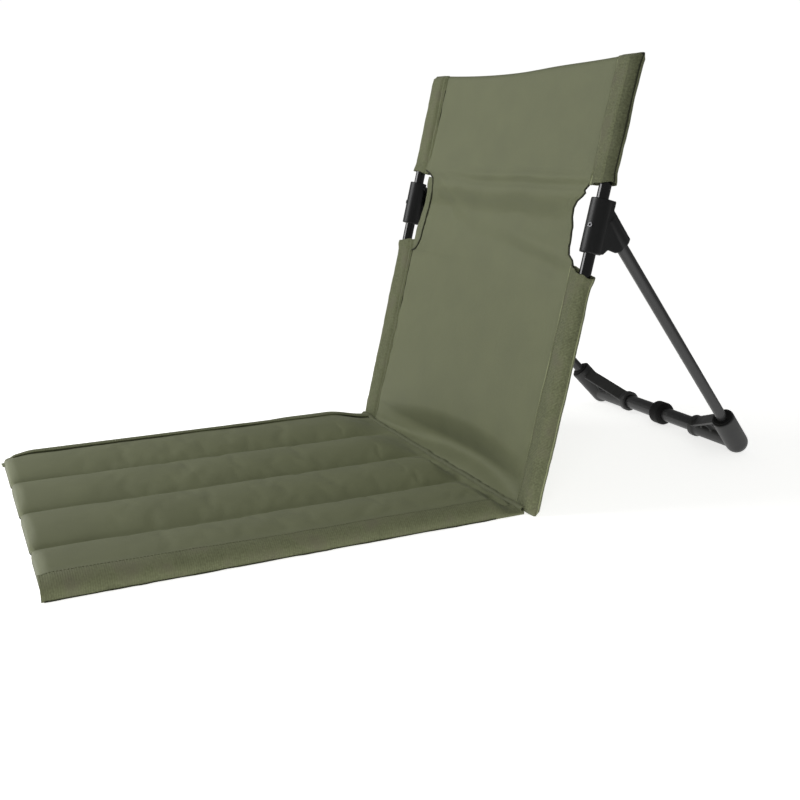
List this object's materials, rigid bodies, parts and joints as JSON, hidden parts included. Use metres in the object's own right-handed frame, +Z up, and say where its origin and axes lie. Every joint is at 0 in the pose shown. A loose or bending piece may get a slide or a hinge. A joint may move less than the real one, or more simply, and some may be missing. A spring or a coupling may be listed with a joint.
{
  "type": "folding camping chair",
  "caption": "Low folding floor chair: padded channelled seat mat, fabric back on two sleeved poles, and a hinged rear leg frame.",
  "frame": {"origin": "middle of the underside of the bounding box, on the ground between seat and rear feet", "axes": "+Z up; -Y toward the front edge of the seat; +X to the sitter's left"},
  "size_m": [0.4526, 0.8605, 0.4738],
  "materials": {
    "pole": "gloss black anodised",
    "moulding": "satin black moulded nylon",
    "hardware": "plain",
    "cover_fabric": "olive coated polyester weave",
    "webbing": "olive ribbed webbing",
    "frame_tube": "matt dark grey powder coat",
    "rubber_trim": "soft black rubber"
  },
  "bodies": {
    "back_frame": {"back_pole_left": "pole", "back_pole_right": "pole", "pole_foot_cap_left": "moulding", "pole_foot_cap_right": "moulding", "pole_top_cap_left": "moulding", "pole_top_cap_right": "moulding", "bracket_left": "moulding", "bracket_right": "moulding", "bracket_rivet_left": "hardware", "bracket_rivet_right": "hardware", "pivot_pin_left": "hardware", "pivot_pin_right": "hardware", "back_panel": "cover_fabric", "upper_sleeve_left": "webbing", "upper_sleeve_right": "webbing", "lower_sleeve_left": "webbing", "lower_sleeve_right": "webbing", "crease_piping": "webbing"},
    "rear_frame": {"leg_left": "frame_tube", "leg_right": "frame_tube", "leg_eye_left": "moulding", "leg_eye_right": "moulding", "leg_grommet_left": "rubber_trim", "leg_grommet_right": "rubber_trim", "foot_left": "moulding", "foot_right": "moulding", "crossbar_left": "frame_tube", "crossbar_right": "frame_tube", "crossbar_ferrule": "hardware", "crossbar_collar": "rubber_trim"},
    "seat": {"seat_mat": "cover_fabric", "seat_webbing_left": "webbing", "seat_webbing_right": "webbing"}
  },
  "joints": [
    {"name": "rear_frame_fold", "type": "hinge", "parent": "back_frame", "child": "rear_frame", "pos_m": [0, 0.15801, 0.29932], "axis": [-1, 0, 0], "range_deg": [0, 55]},
    {"name": "seat_fold", "type": "hinge", "parent": "back_frame", "child": "seat", "pos_m": [0, 0.05272, 0.008], "axis": [-1, 0, 0], "range_deg": [0, 90]}
  ]
}
